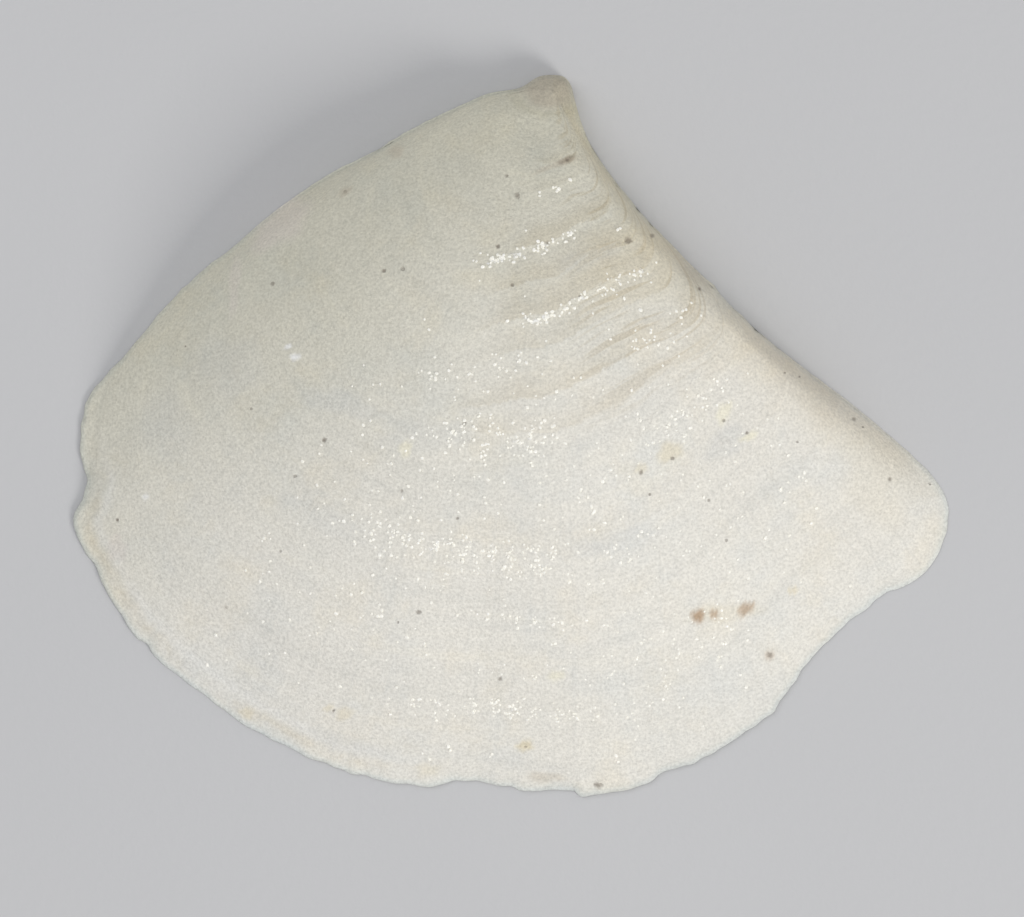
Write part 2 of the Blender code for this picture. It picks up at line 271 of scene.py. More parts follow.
# Stains, flecks and dull patches: place, half-width and half-height in pixels of the
# picture, turn in degrees, colour and how strongly it shows.
MARKS = (
    (800, 440, 210, 120, -42, EARTH, 0.045),
    (232, 366, 40, 34, 20, SLATE, 0.13), (165, 425, 30, 44, 0, SLATE, 0.11),
    (345, 405, 46, 14, -20, SLATE, 0.18), (430, 436, 62, 18, 0, SLATE, 0.14),
    (726, 442, 30, 15, 25, SLATE, 0.24), (612, 540, 62, 13, 12, SLATE, 0.20),
    (585, 262, 34, 11, 22, SLATE, 0.16), (545, 405, 44, 12, 6, SLATE, 0.10),
    (330, 520, 60, 14, -26, SLATE, 0.12), (350, 745, 52, 11, -18, SLATE, 0.16),
    (282, 224, 38, 22, 38, ROSE, 0.42), (346, 193, 8, 5, 20, EARTH, 0.40),
    (397, 153, 10, 7, 30, EARTH, 0.36), (236, 285, 7, 34, -4, ROSE, 0.30),
    (690, 266, 34, 14, -42, EARTH, 0.24), (806, 392, 74, 18, -38, EARTH, 0.13),
    (118, 548, 12, 15, 0, ROSE, 0.35), (190, 400, 6, 30, 28, CREAM, 0.25),
    (668, 452, 17, 10, 20, OCHRE, 0.36), (640, 468, 8, 6, 0, OCHRE, 0.25),
    (722, 413, 8, 13, -20, CREAM, 0.80), (747, 437, 13, 4, 25, CREAM, 0.90),
    (407, 449, 7, 10, -25, CREAM, 0.90), (297, 358, 6, 4, 0, FROST_WHITE, 0.90),
    (290, 348, 4, 3, 0, FROST_WHITE, 0.85), (556, 674, 10, 6, 0, CREAM, 0.70),
    (792, 590, 6, 5, 0, OCHRE, 0.35), (345, 713, 11, 7, 0, OCHRE, 0.30),
    (330, 707, 6, 5, 0, OCHRE, 0.30), (247, 713, 9, 7, 0, OCHRE, 0.30),
    (427, 770, 15, 8, 0, OCHRE, 0.22), (545, 777, 22, 6, -3, EARTH, 0.30),
    (525, 745, 9, 7, 0, OCHRE, 0.55), (147, 497, 4, 4, 0, FROST_WHITE, 0.70),
    (635, 268, 66, 44, 20, OCHRE, 0.11), (880, 480, 62, 40, -42, OCHRE, 0.11),
    (700, 722, 100, 48, 24, SLATE, 0.09), (725, 612, 42, 11, 6, OCHRE, 0.16),
    (697, 615, 9, 7, 20, RUST, 0.75),
    (713, 613, 6, 5, 0, RUST, 0.60), (745, 608, 12, 6, 25, RUST, 0.60),
    (769, 655, 6, 6, 0, RUST, 0.30), (607, 262, 12, 5, 20, EARTH, 0.12),
    (566, 162, 10, 4, 24, PIT_BROWN_AND_SHADE, 0.60), (556, 167, 26, 4, 20, EARTH, 0.35),
)
MARK_EDGE = (0.50, 1.15)     # half-widths of a mark between which it fades out
MARK_LOBES = (2, 3, 5)       # waves round a mark that make its outline uneven
LOBE_DEPTH = 0.09

# The mesh.
MOST_EDGE_DEPTH = 0.008      # how far inside the outline a younger margin stays at least
EDGE_DEPTH_RISE = 1.5        # how fast it gets there as the size falls
SMOOTHINGS = 60              # rounds of averaging that soften the beak and the upper edges
RAY_LENGTH = 10.0            # more than the valve is deep
SPOKES = 512                 # points round a full-grown margin
FEWER_SPOKES = ((0.25, 4), (0.50, 2))   # below each size, what the number is divided by
TIP_SIZES = (0.004, 0.012, 0.022, 0.032)
RING_STEPS = (0.0030, 0.0054)   # step in size between rings near the beak and far from it
RING_STEP_SIZES = (0.15, 0.60)
EDGE_SIZES = (0.988, 0.992, 0.9945, 0.9965, 0.998, 0.999, 0.9996, 1.0)
FLAT_RINGS = 9
HOLLOW_RINGS = 22
HOLLOW_CLOSING = 1.25        # how much closer its rings stand at its edge than at its middle
LEAST_DENSITY = 0.30         # of points, where the margin runs straight away from the pole
BEAK_DENSITY = 1.5
BEAK_RADIUS = 0.25
DRAWN_STEPS = 16             # steps of the drawn curve between two of its points
EVEN_STEPS = 1024
EDGE_WEAR = 0.0015           # how far the worn margin wanders in plan
WEAR_WAVES = (60, 150)       # waves round the margin that the wandering is made of
WEAR_LAYERS = 14
WORN_FROM = (0.3, 0.8)       # distances from the pole between which the wandering sets in

# The stage.  Lights: name, place, side, watts and colour.
FLOOR_RADIUS = 400.0
FLOOR_DEPTH = 0.003          # gap between the rim and the floor
LIGHTS = (
    ("key", (30.0, -29.0, 27.0), 16.0, 0.0112, (1.0, 0.985, 0.955)),
    ("fill", (-30.0, 20.0, 40.0), 40.0, 0.0084, (0.98, 0.98, 1.0)),
    ("rear", (26.0, 26.0, 20.0), 24.0, 0.0010, (1.0, 0.985, 0.955)),
)
SKY = (0.95, 0.965, 1.0, 1.0)
SKY_STRENGTH = 0.47
NEAR_AND_FAR = (1.0, 1000.0)     # how near and how far the camera sees


def millimetres_per_pixel():
    """Return the size of a pixel, from the length of the solid valve."""
    low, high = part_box("left_valve")
    return (high.x - low.x) / MM / VALVE_LENGTH


PIXEL = millimetres_per_pixel()


def on_valve(x, y):
    """Return the place on the valve, in millimetres, of a point in the picture."""
    return ((x - VALVE_MIDDLE[0]) * PIXEL, (VALVE_MIDDLE[1] - y) * PIXEL)


def ease(value, start, end):
    """Return 0 before start, 1 after end, and a smooth rise between them."""
    share = np.clip((value - start) / (end - start), 0.0, 1.0)
    return share * share * (3.0 - 2.0 * share)


# Node trees as expressions


class Value:
    """An output of a node that takes part in Python expressions."""

    def __init__(self, graph, socket):
        self.graph = graph
        self.socket = socket

    def __add__(self, other):
        return self.graph.arithmetic("ADD", self, other)

    def __radd__(self, other):
        return self.graph.arithmetic("ADD", other, self)

    def __sub__(self, other):
        return self.graph.arithmetic("SUBTRACT", self, other)

    def __rsub__(self, other):
        return self.graph.arithmetic("SUBTRACT", other, self)

    def __mul__(self, other):
        return self.graph.arithmetic("MULTIPLY", self, other)

    def __rmul__(self, other):
        return self.graph.arithmetic("MULTIPLY", other, self)

    def __truediv__(self, other):
        return self.graph.arithmetic("DIVIDE", self, other)

    def __rtruediv__(self, other):
        return self.graph.arithmetic("DIVIDE", other, self)

    def __pow__(self, other):
        return self.graph.arithmetic("POWER", self, other)

    def __neg__(self):
        return self.graph.arithmetic("MULTIPLY", self, -1.0)

    def __lt__(self, other):
        return self.graph.maths("LESS_THAN", self, other)

    def __gt__(self, other):
        return self.graph.maths("GREATER_THAN", self, other)


def is_vector(value):
    """Tell whether a value or a plain Python value has three parts."""
    if isinstance(value, Value):
        return value.socket.type in ("VECTOR", "RGBA")
    return isinstance(value, (tuple, list, Vector))


class Graph:
    """A node tree that is built from Python expressions."""

    def __init__(self, tree):
        self.tree = tree
        tree.nodes.clear()

    def add(self, kind, settings=None, values=None, output=None):
        """Add a node with its settings first and its sockets next, and return an output."""
        made = self.tree.nodes.new(kind)
        for name, setting in (settings or {}).items():
            setattr(made, name, setting)
        inputs = [socket for socket in made.inputs if socket.enabled]
        names = {socket.name: socket for socket in reversed(inputs)}
        for key, value in (values or {}).items():
            socket = inputs[key] if isinstance(key, int) else names[key]
            if isinstance(value, Value):
                self.tree.links.new(value.socket, socket)
            elif socket.type == "RGBA":
                socket.default_value = (*value[:3], 1.0)
            else:
                socket.default_value = value
        outputs = [socket for socket in made.outputs if socket.enabled]
        if output is None:
            return Value(self, outputs[0]) if outputs else None
        return Value(self, next(socket for socket in outputs if socket.name == output))

    def maths(self, operation, *numbers):
        """Return a number worked out by a Math node."""
        return self.add("ShaderNodeMath", {"operation": operation}, dict(enumerate(numbers)))

    def vectors(self, operation, *values, output=None):
        """Return what a Vector Math node works out."""
        settings = {"operation": operation}
        return self.add("ShaderNodeVectorMath", settings, dict(enumerate(values)), output)

    def arithmetic(self, operation, first, second):
        """Join two numbers, two vectors, or a vector and a number that scales it."""
        if not (is_vector(first) or is_vector(second)):
            return self.maths(operation, first, second)
        if is_vector(first) and is_vector(second):
            return self.vectors(operation, first, second)
        vector, number = (first, second) if is_vector(first) else (second, first)
        return self.vectors("SCALE", vector, number)

    def largest(self, numbers):
        """Return the largest of some numbers."""
        return reduce(lambda first, second: self.maths("MAXIMUM", first, second), numbers)

    def length(self, vector):
        """Return the length of a vector."""
        return self.vectors("LENGTH", vector, output="Value")

    def distance(self, first, second):
        """Return the distance between two points."""
        return self.vectors("DISTANCE", first, second, output="Value")

    def dot(self, first, second):
        """Return the dot product of two vectors."""
        return self.vectors("DOT_PRODUCT", first, second, output="Value")

    def vector(self, x, y, z=0.0):
        """Return a vector of three numbers."""
        return self.add("ShaderNodeCombineXYZ", None, {0: x, 1: y, 2: z})

    def upright(self, number):
        """Return a vector that points straight up."""
        return self.vector(0.0, 0.0, number)

    def parts(self, vector):
        """Return the three numbers of a vector."""
        return [
            self.add("ShaderNodeSeparateXYZ", None, {0: vector}, axis) for axis in ("X", "Y", "Z")
        ]

    def ease(self, value, start, end):
        """Return 0 before start, 1 after end, and a smooth rise between them."""
        settings = {"interpolation_type": "SMOOTHSTEP"}
        values = {"Value": value, "From Min": start, "From Max": end}
        return self.add("ShaderNodeMapRange", settings, values)

    def mix(self, share, first, second, kind="FLOAT"):
        """Return first where the share is 0 and second where it is 1."""
        settings = {"data_type": kind}
        return self.add("ShaderNodeMix", settings, {0: share, "A": first, "B": second})

    def bell(self, value, middle, width):
        """Return 1 where a value is at the middle, falling off to both sides."""
        away = (value - middle) / width
        return self.maths("EXPONENT", -(away * away))

    def noise(self, vector, scale, detail=2.0, roughness=0.5):
        """Return a soft random number that is the same at the same place."""
        values = {"Vector": vector, "Scale": scale, "Detail": detail, "Roughness": roughness}
        return self.add("ShaderNodeTexNoise", None, values)


# The valve's mesh, before it grows


def smooth_curve(points):
    """Return a fine smooth closed curve through points."""
    knots = np.array(points, dtype=float)
    curve = []
    for index, start in enumerate(knots):
        before = knots[index - 1]
        end = knots[(index + 1) % len(knots)]
        after = knots[(index + 2) % len(knots)]
        for t in np.arange(DRAWN_STEPS) / DRAWN_STEPS:
            curve.append(0.5 * (
                2.0 * start
                + (end - before) * t
                + (2.0 * before - 5.0 * start + 4.0 * end - after) * t ** 2
                + (3.0 * start - 3.0 * end + after - before) * t ** 3
            ))
    return np.array(curve)


def lengths_along(curve):
    """Return a closed curve with its first point repeated, and the length run at each point."""
    closed = np.vstack((curve, curve[:1]))
    steps = np.linalg.norm(np.diff(closed, axis=0), axis=1)
    return closed, np.concatenate(((0.0,), np.cumsum(steps)))


def from_pole(points):
    """Return the distance of each point from the point that the valve grows from."""
    return np.linalg.norm(points - np.array(POLE), axis=1)


def spaced(curve, count):
    """Return points along a margin, closer together where it faces the pole and on the beak."""
    closed, run = lengths_along(curve)
    middles = 0.5 * (closed[1:] + closed[:-1])
    arms = middles - np.array(POLE)
    steps = np.diff(closed, axis=0)
    across = np.abs(arms[:, 0] * steps[:, 1] - arms[:, 1] * steps[:, 0])
    facing = across / (np.linalg.norm(arms, axis=1) * np.linalg.norm(steps, axis=1))
    beak = BEAK_DENSITY * np.exp(-(from_pole(middles) / BEAK_RADIUS) ** 2)
    density = LEAST_DENSITY + (1.0 - LEAST_DENSITY) * facing + beak
    weight = np.concatenate(((0.0,), np.cumsum(np.diff(run) * density)))
    wanted = np.linspace(0.0, weight[-1], count, endpoint=False)
    return np.column_stack([np.interp(wanted, weight, closed[:, axis]) for axis in (0, 1)])


def softened(curve, rounding):
    """Return a closed curve with its corners rounded off, point for point."""
    closed, run = lengths_along(curve)
    even = np.linspace(0.0, run[-1], EVEN_STEPS, endpoint=False)
    waves = np.fft.fftfreq(EVEN_STEPS, even[1])
    fade = np.exp(-0.5 * (2.0 * math.pi * waves * rounding) ** 2)
    soft = np.empty_like(curve)
    for axis in (0, 1):
        wave = np.fft.fft(np.interp(even, run, closed[:, axis])) * fade
        soft[:, axis] = np.interp(run[:-1], even, np.fft.ifft(wave).real, period=run[-1])
    return soft


def rounded(margin, rounding):
    """Return a margin with its corners rounded off, apart from the beak."""
    share = ease(from_pole(margin), *ROUNDED_FROM)[:, None]
    return margin + share * (softened(margin, rounding) - margin)


def worn(margin):
    """Return a margin whose line wanders in and out a little, as a worn edge does."""
    random = np.random.default_rng(11)
    _, run = lengths_along(margin)
    turns = 2.0 * math.pi * run[:-1] / run[-1]
    wander = np.zeros(len(margin))
    for waves in random.integers(*WEAR_WAVES, WEAR_LAYERS):
        wander += np.sin(waves * turns + random.uniform(0.0, 2.0 * math.pi))
    arms = margin - np.array(HOLLOW_CENTRE)
    outward = arms / np.linalg.norm(arms, axis=1)[:, None]
    away = ease(from_pole(margin), *WORN_FROM)
    height = EDGE_WEAR / math.sqrt(WEAR_LAYERS / 2)
    return margin + outward * (height * wander * away)[:, None]


def hollow_edge(margin):
    """Return the inner edge of the flat rim, which widens to the hinge under the beak."""
    arm = margin - np.array(HOLLOW_CENTRE)
    reach = np.linalg.norm(arm, axis=1)
    width = RIM_WIDTH + HINGE_WIDTH * np.exp(-(from_pole(margin) / HINGE_REACH) ** 2)
    edge = np.array(HOLLOW_CENTRE) + arm * (1.0 - width / reach)[:, None]
    return softened(edge, HINGE_ROUNDING)


def ring_sizes():
    """Return the sizes at which the outer face has a ring, from the beak to the rim."""
    sizes = list(TIP_SIZES)
    while sizes[-1] < EDGE_SIZES[0] - 0.5 * RING_STEPS[1]:
        share = ease(sizes[-1], *RING_STEP_SIZES)
        sizes.append(sizes[-1] + RING_STEPS[0] + share * (RING_STEPS[1] - RING_STEPS[0]))
    return sizes[:-1] + list(EDGE_SIZES)


def ring_count(size):
    """Return how many points a ring has: fewer near the beak, where rings are small."""
    for limit, share in FEWER_SPOKES:
        if size < limit:
            return SPOKES // share
    return SPOKES


def between(first, second):
    """Return the faces between two closed rings, one of which may have twice the points."""
    faces = []
    if len(first) > len(second):
        for index in range(len(second)):
            near, next_near = second[index], second[(index + 1) % len(second)]
            start, middle = first[2 * index], first[2 * index + 1]
            end = first[(2 * index + 2) % len(first)]
            faces += [(start, middle, near), (middle, next_near, near), (middle, end, next_near)]
        return faces
    for index in range(len(first)):
        near, next_near = first[index], first[(index + 1) % len(first)]
        if len(second) == len(first):
            faces.append((near, next_near, second[(index + 1) % len(second)], second[index]))
            continue
        start, middle = second[2 * index], second[2 * index + 1]
        end = second[(2 * index + 2) % len(second)]
        faces += [(near, middle, start), (near, next_near, middle), (next_near, end, middle)]
    return faces


class Sheet:
    """The closed sheet of rings that grows into the valve, with what each point knows."""

    def __init__(self, margins):
        self.margins = margins
        self.points = []
        self.faces = []
        self.known = {name: [] for name in (*margins, "size", "under", "share")}
        self.last = None

    def add_ring(self, plan, count, size, under, share):
        """Add a ring of points that lie at a plan, and join it to the ring before it."""
        step = SPOKES // count
        first = len(self.points)
        ring = list(range(first, first + count))
        self.points += [(x, y, 0.0) for x, y in plan[::step]]
        for name, margin in self.margins.items():
            self.known[name] += [(x, y, 0.0) for x, y in margin[::step]]
        self.known["size"] += [size] * count
        self.known["under"] += [under] * count
        self.known["share"] += [share] * count
        if self.last is not None:
            self.faces += between(self.last, ring)
        self.last = ring

    def add_tip(self, place, size, under, last):
        """Close the first or the last ring with a fan to a point."""
        tip = len(self.points)
        self.points.append((*place, 0.0))
        for name in self.margins:
            self.known[name].append((*place, 0.0))
        self.known["size"].append(size)
        self.known["under"].append(under)
        self.known["share"].append(0.0)
        ring = self.last
        for index, point in enumerate(ring):
            after = ring[(index + 1) % len(ring)]
            self.faces.append((point, after, tip) if last else (tip, after, point))

    def mesh(self, name):
        """Return the sheet as a mesh whose points carry what they know as attributes."""
        data = bpy.data.meshes.new(name)
        data.from_pydata(self.points, [], self.faces)
        for key, rows in self.known.items():
            add_known(data, key, np.array(rows))
        return data


def ungrown_sheet():
    """Return the closed sheet: rings from the beak to the rim, then the underside."""
    outline = smooth_curve([on_valve(x, y) for x, y in OUTLINE])
    drawn = spaced(outline, SPOKES)
    margins = {
        "young": rounded(drawn, YOUNG_ROUNDING),
        "adult": rounded(drawn, ADULT_ROUNDING),
        "present": worn(drawn),
    }
    edge = hollow_edge(drawn)
    middle = np.array(HOLLOW_CENTRE)
    sheet = Sheet(margins)
    for size in ring_sizes():
        tip = sheet.last is None
        sheet.add_ring(margins["present"], ring_count(size), size, 0.0, 1.0)
        if tip:
            sheet.add_tip(POLE, size, 0.0, last=False)
    for step in range(1, FLAT_RINGS + 1):
        share = step / FLAT_RINGS
        plan = margins["present"] + share * (edge - margins["present"])
        sheet.add_ring(plan, SPOKES, 1.0, 1.0, 1.0)
    for step in range(1, HOLLOW_RINGS):
        share = 1.0 - (step / HOLLOW_RINGS) ** HOLLOW_CLOSING
        sheet.add_ring(middle + share * (edge - middle), SPOKES // 2, 1.0, 1.0, share)
    sheet.add_tip(HOLLOW_CENTRE, 1.0, 1.0, last=True)
    return sheet.mesh("left_valve_surface")


def refined_at_sockets(data):
    """Divide the faces of the hinge flat round its pits, so that their walls can curve."""
    mesh = bmesh.new()
    mesh.from_mesh(data)
    under = mesh.verts.layers.float["under"]
    edges = set()
    for face in mesh.faces:
        if min(vertex[under] for vertex in face.verts) < 0.5:
            continue
        middle = face.calc_center_median()
        for narrow, _, wide, wide_radius in SOCKETS:
            start, end = Vector((*narrow, 0.0)), Vector((*wide, 0.0))
            run = end - start
            along = min(1.0, max(0.0, (middle - start).dot(run) / run.length_squared))
            if (middle - start.lerp(end, along)).length < wide_radius * 1.5 + 0.03:
                edges.update(face.edges)
    bmesh.ops.subdivide_edges(mesh, edges=list(edges), cuts=2, use_grid_fill=True)
    mesh.to_mesh(data)
    mesh.free()


# How the valve grows


def new_tree(name, sizes):
    """Return the graph of a new Geometry Nodes tree, and its geometry and named sizes."""
    tree = bpy.data.node_groups.new(name, "GeometryNodeTree")
    tree.is_modifier = True
    graph = Graph(tree)
    sockets = tree.interface
    sockets.new_socket(name="Geometry", in_out="INPUT", socket_type="NodeSocketGeometry")
    sockets.new_socket(name="Geometry", in_out="OUTPUT", socket_type="NodeSocketGeometry")
    for size in sizes:
        sockets.new_socket(name=size, in_out="INPUT", socket_type="NodeSocketFloat")
    source = tree.nodes.new("NodeGroupInput")
    return graph, {socket.name: Value(graph, socket) for socket in source.outputs if socket.name}


def group_output(graph, geometry):
    """End a Geometry Nodes tree."""
    target = graph.tree.nodes.new("NodeGroupOutput")
    graph.tree.links.new(geometry.socket, target.inputs["Geometry"])


def known(graph, name, kind="FLOAT"):
    """Return what the points of a mesh know under a name."""
    return graph.add("GeometryNodeInputNamedAttribute", {"data_type": kind}, {"Name": name})


def keep(graph, geometry, name, value, kind="FLOAT"):
    """Let the points of a mesh know a value under a name."""
    settings = {"data_type": kind, "domain": "POINT"}
    values = {"Geometry": geometry, "Name": name, "Value": value}
    return graph.add("GeometryNodeStoreNamedAttribute", settings, values)


def moved(graph, geometry, chosen, **where):
    """Move the chosen points of a mesh, to a Position or by an Offset."""
    values = {"Geometry": geometry, "Selection": chosen, **where}
    return graph.add("GeometryNodeSetPosition", None, values)


def part_of(graph, geometry, domain, chosen):
    """Return the chosen faces or edges of a mesh."""
    values = {"Geometry": geometry, "Selection": chosen}
    return graph.add("GeometryNodeSeparateGeometry", {"domain": domain}, values)


def scaled(graph, geometry, factor):
    """Return a mesh scaled about the origin."""
    values = {"Geometry": geometry, "Scale": (factor, factor, factor)}
    return graph.add("GeometryNodeTransform", None, values)


def finished(graph, geometry, material, chosen=True):
    """Return a mesh whose chosen faces have a material."""
    values = {"Geometry": geometry, "Selection": chosen, "Material": material}
    return graph.add("GeometryNodeSetMaterial", None, values)


def present_place(graph):
    """Return where a point lies, and where it lies in plan."""
    place = graph.add("GeometryNodeInputPosition")
    return place, place * IN_PLAN


def straight_above(graph, target, plan, output):
    """Return what a ray straight up from a place in plan meets."""
    values = {
        "Target Geometry": target,
        "Source Position": plan - UP,
        "Ray Direction": UP,
        "Ray Length": RAY_LENGTH,
    }
    return graph.add("GeometryNodeRaycast", None, values, output)


def from_rim(graph, geometry, plan, size, under, output):
    """Return the Position nearest on the present margin, or the Distance from it."""
    rim = part_of(graph, geometry, "EDGE", (size > PRESENT) * (under < 0.01))
    values = {"Geometry": rim, "Sample Position": plan}
    return graph.add("GeometryNodeProximity", {"target_element": "EDGES"}, values, output)


def added(values):
    """Return the sum of values."""
    return reduce(lambda first, second: first + second, values)


def streaks(graph, across, along, detail, roughness, start=0.0):
    """Return noise in streaks, which change fast across and slowly along."""
    return graph.noise(graph.vector(across, along, start), 1.0, detail, roughness)


def reach_from_pole(graph, place):
    """Return how far a place is from the pole."""
    return graph.length(place - POLE_PLACE)


def rearward(graph, place):
    """Return the direction of a place from the pole: 0 straight down, rising to the rear."""
    x, y, _ = graph.parts(place - POLE_PLACE)
    return graph.maths("ARCTAN2", x, -y)


def turning(graph, direction, start, end):
    """Return 0 before a direction in degrees, 1 after another, and a smooth rise between."""
    return graph.ease(direction, math.radians(start), math.radians(end))


def stage_field(graph, plan, size, direction):
    """Return the stage of growth: the size, but for the askew growth of the young valve."""
    young = graph.ease(size, 0.12, 0.20) * (1.0 - graph.ease(size, 0.42, 0.55))
    front = turning(graph, -direction, 4.0, 24.0)
    rear = turning(graph, direction, 20.0, 30.0)
    middle = graph.bell(direction, math.radians(9.0), math.radians(9.0))
    askew = 0.15 * front - 0.04 * middle + 0.02 * rear
    wander = 0.012 * (graph.noise(plan, 4.0, 2.0) - 0.5)
    return size / (1.0 + young * askew) + wander


def rib_profile(graph, stage, rear_share):
    """Return the height of the ribs at a stage, and how strongly their long sides are tinted there:
    partly browner, partly painted shade where they face away from the lights.
    """
    heights = []
    brown_shaded_sides = []
    for crest, crest_height, front_share, brown_and_shade in RIBS:
        rise, fall = (min(share * crest, most) for share, most in (RIB_RISE, RIB_FALL))
        shown = front_share + (1.0 - front_share) * rear_share
        before = stage < crest
        here = graph.bell(stage, crest, graph.mix(before, fall, rise)) * shown
        heights.append(here * crest_height)
        brown_shaded_sides.append(here * before * brown_and_shade)
    return added(heights), added(brown_shaded_sides)


def frost_and_glint_field(graph, stage, direction):
    """Return how densely frosted grains and painted glints stand at a stage and in a direction."""
    rows = []
    for row, width, start, end, strength in FROST_AND_GLINT_ROWS:
        starting = turning(graph, direction, start, start + ROW_END)
        ending = turning(graph, direction, end - ROW_END, end)
        window = starting * (1.0 - ending)
        rows.append(graph.bell(stage, row, width) * window * strength)
    return graph.largest(rows)


def grown_place(graph, sizes, margin, size):
    """Return where a point of the margin lay when the valve had a size."""
    age = -graph.maths("LOGARITHM", graph.maths("MAXIMUM", size, YOUNGEST), math.e)
    arm = margin - POLE_PLACE
    coil = sizes["Plan coil"] * age / sizes["Most plan turn"]
    turn = sizes["Most plan turn"] * (1.0 - graph.maths("EXPONENT", -coil))
    values = {"Vector": arm, "Angle": -turn}
    turned = graph.add("ShaderNodeVectorRotate", {"rotation_type": "Z_AXIS"}, values)
    _, up, _ = graph.parts(arm)
    spread = sizes["Beak spread"]
    below = 0.5 * (graph.maths("SQRT", up * up + spread * spread) - up)
    back = size * below * graph.maths("SINE", sizes["Lift coil"] * age)
    reach = graph.length(arm)
    near = graph.bell(size * reach, 0.0, sizes["Beak reach"])
    beak = sizes["Beak height"] * (1.0 - size ** BEAK_FADING) * near
    inside = graph.ease(1.0 - size, 0.0, sizes["Lip width"]) ** 0.5
    lip = sizes["Lip height"] * inside * graph.ease(reach, *LIP_FROM)
    return turned * size + POLE_PLACE + graph.upright(back + beak + lip)


def kept_inside(graph, geometry, plan, outer, size, under):
    """Move what hangs over the present outline back inside it, in plan."""
    floor = part_of(graph, geometry, "FACE", under > 0.5)
    inside = straight_above(graph, floor, plan, "Is Hit")
    nearest = from_rim(graph, geometry, plan, size, under, "Position") * IN_PLAN
    depth = graph.maths("MINIMUM", EDGE_DEPTH_RISE * (1.0 - size), MOST_EDGE_DEPTH)
    inward = graph.vectors("NORMALIZE", (*HOLLOW_CENTRE, 0.0) - nearest)
    astray = graph.maths("MAXIMUM", 1.0 - inside, graph.distance(plan, nearest) < depth)
    chosen = outer * (size < 0.9999) * astray
    return moved(graph, geometry, chosen, Offset=nearest + inward * depth - plan)


def upper_edges(graph, plan):
    """Return 1 towards the two upper edges and on the beak, and 0 towards the lower edge."""
    direction = rearward(graph, plan)
    beak = 1.0 - graph.ease(reach_from_pole(graph, plan), *UPPER_BEAK)
    rear = turning(graph, direction, *UPPER_REAR)
    front = turning(graph, -direction, *UPPER_FRONT)
    return graph.largest((beak, rear, front))


def shouldered(graph, sizes, geometry, outer, inland, plan):
    """Round the height off towards the upper edges, as a quarter of an ellipse."""
    near_beak = 1.0 - graph.ease(reach_from_pole(graph, plan), *WIDE_SHOULDER)
    width = sizes["Shoulder width"] * (1.0 + BEAK_WIDENING * near_beak)
    short = 1.0 - graph.maths("MINIMUM", inland / width, 1.0)
    quarter = graph.maths("SQRT", 1.0 - short * short)
    quarter = sizes["Least shoulder"] + (1.0 - sizes["Least shoulder"]) * quarter
    place, _ = present_place(graph)
    _, _, height = graph.parts(place)
    rise = height * upper_edges(graph, plan) * (quarter - 1.0)
    return moved(graph, geometry, outer, Offset=graph.upright(rise))


def beak_height(graph, sizes, plan):
    """Return the height of the beak as one smooth dome on the start of the valve's back."""
    reach = reach_from_pole(graph, plan)
    blunt = graph.maths("SQRT", reach * reach + BEAK_TIP ** 2) - BEAK_TIP
    ventral = 0.5 + 0.5 * graph.maths("COSINE", rearward(graph, plan))
    age = graph.maths("LOGARITHM", BEAK_ARM / graph.maths("MAXIMUM", reach, LEAST_REACH), math.e)
    back = blunt * ventral * graph.maths("SINE", sizes["Lift coil"] * age)
    return sizes["Beak height"] * graph.bell(reach, 0.0, sizes["Beak reach"]) + back


def single_beak(graph, sizes, geometry, outer, size):
    """Give all that lies over one place on the beak the same height."""
    place, plan = present_place(graph)
    _, _, height = graph.parts(place)
    near = 1.0 - graph.ease(reach_from_pole(graph, plan), *BEAK_BLEND)
    share = near * (1.0 - graph.ease(size, *SINGLE_BEAK))
    rise = share * (beak_height(graph, sizes, plan) - height)
    return moved(graph, geometry, outer, Offset=graph.upright(rise))


def rounded_top(graph, sizes, geometry, outer, size, inland):
    """Round off the beak and the upper edges, apart from the outline."""
    place, plan = present_place(graph)
    start, end = (share * sizes["Beak softness"] for share in SOFT_BEAK)
    beak = 1.0 - graph.ease(reach_from_pole(graph, plan), start, end)
    edge = (1.0 - graph.ease(inland, *SOFT_EDGE)) * upper_edges(graph, plan)
    weight = graph.maths("MAXIMUM", beak, edge) * (1.0 - graph.ease(size, *SOFT_SIZES))
    values = {"Value": place, "Iterations": SMOOTHINGS, "Weight": weight}
    soft = graph.add("GeometryNodeBlurAttribute", {"data_type": "FLOAT_VECTOR"}, values)
    return moved(graph, geometry, outer, Position=soft)


def socket_field(graph, plan):
    """Return 1 on the floor of a hinge pit and 0 on the flat."""
    pits = []
    for narrow, narrow_radius, wide, wide_radius in SOCKETS:
        run = (wide[0] - narrow[0], wide[1] - narrow[1], 0.0)
        reach = run[0] ** 2 + run[1] ** 2
        along = graph.dot(plan - (*narrow, 0.0), run) / reach
        along = graph.maths("MINIMUM", graph.maths("MAXIMUM", along, 0.0), 1.0)
        nearest = graph.mix(along, (*narrow, 0.0), (*wide, 0.0), "VECTOR")
        radius = narrow_radius + (wide_radius - narrow_radius) * along
        pits.append(1.0 - graph.ease(graph.distance(plan, nearest) / radius, *SOCKET_WALL))
    return graph.largest(pits)


def scar_field(graph, plan, share):
    """Return 1 on a muscle scar, less on the mantle line, and 0 elsewhere in the hollow."""
    marks = [graph.bell(share, *MANTLE_LINE) * MANTLE_SHARE]
    for (x, y), (half_width, half_height) in SCARS:
        arm = (plan - (x, y, 0.0)) * (1.0 / half_width, 1.0 / half_height, 0.0)
        marks.append(1.0 - graph.ease(graph.length(arm), *SCAR_EDGE))
    return graph.largest(marks)


def margin_at(graph, size):
    """Return the margin that the valve had at a size: rounder when young, chipped at last."""
    young, adult, present = (
        known(graph, name, "FLOAT_VECTOR") for name in ("young", "adult", "present")
    )
    margin = graph.mix(graph.ease(size, *ADULT_SIZES), young, adult, "VECTOR")
    return graph.mix(graph.ease(size, *PRESENT_SIZES), margin, present, "VECTOR")


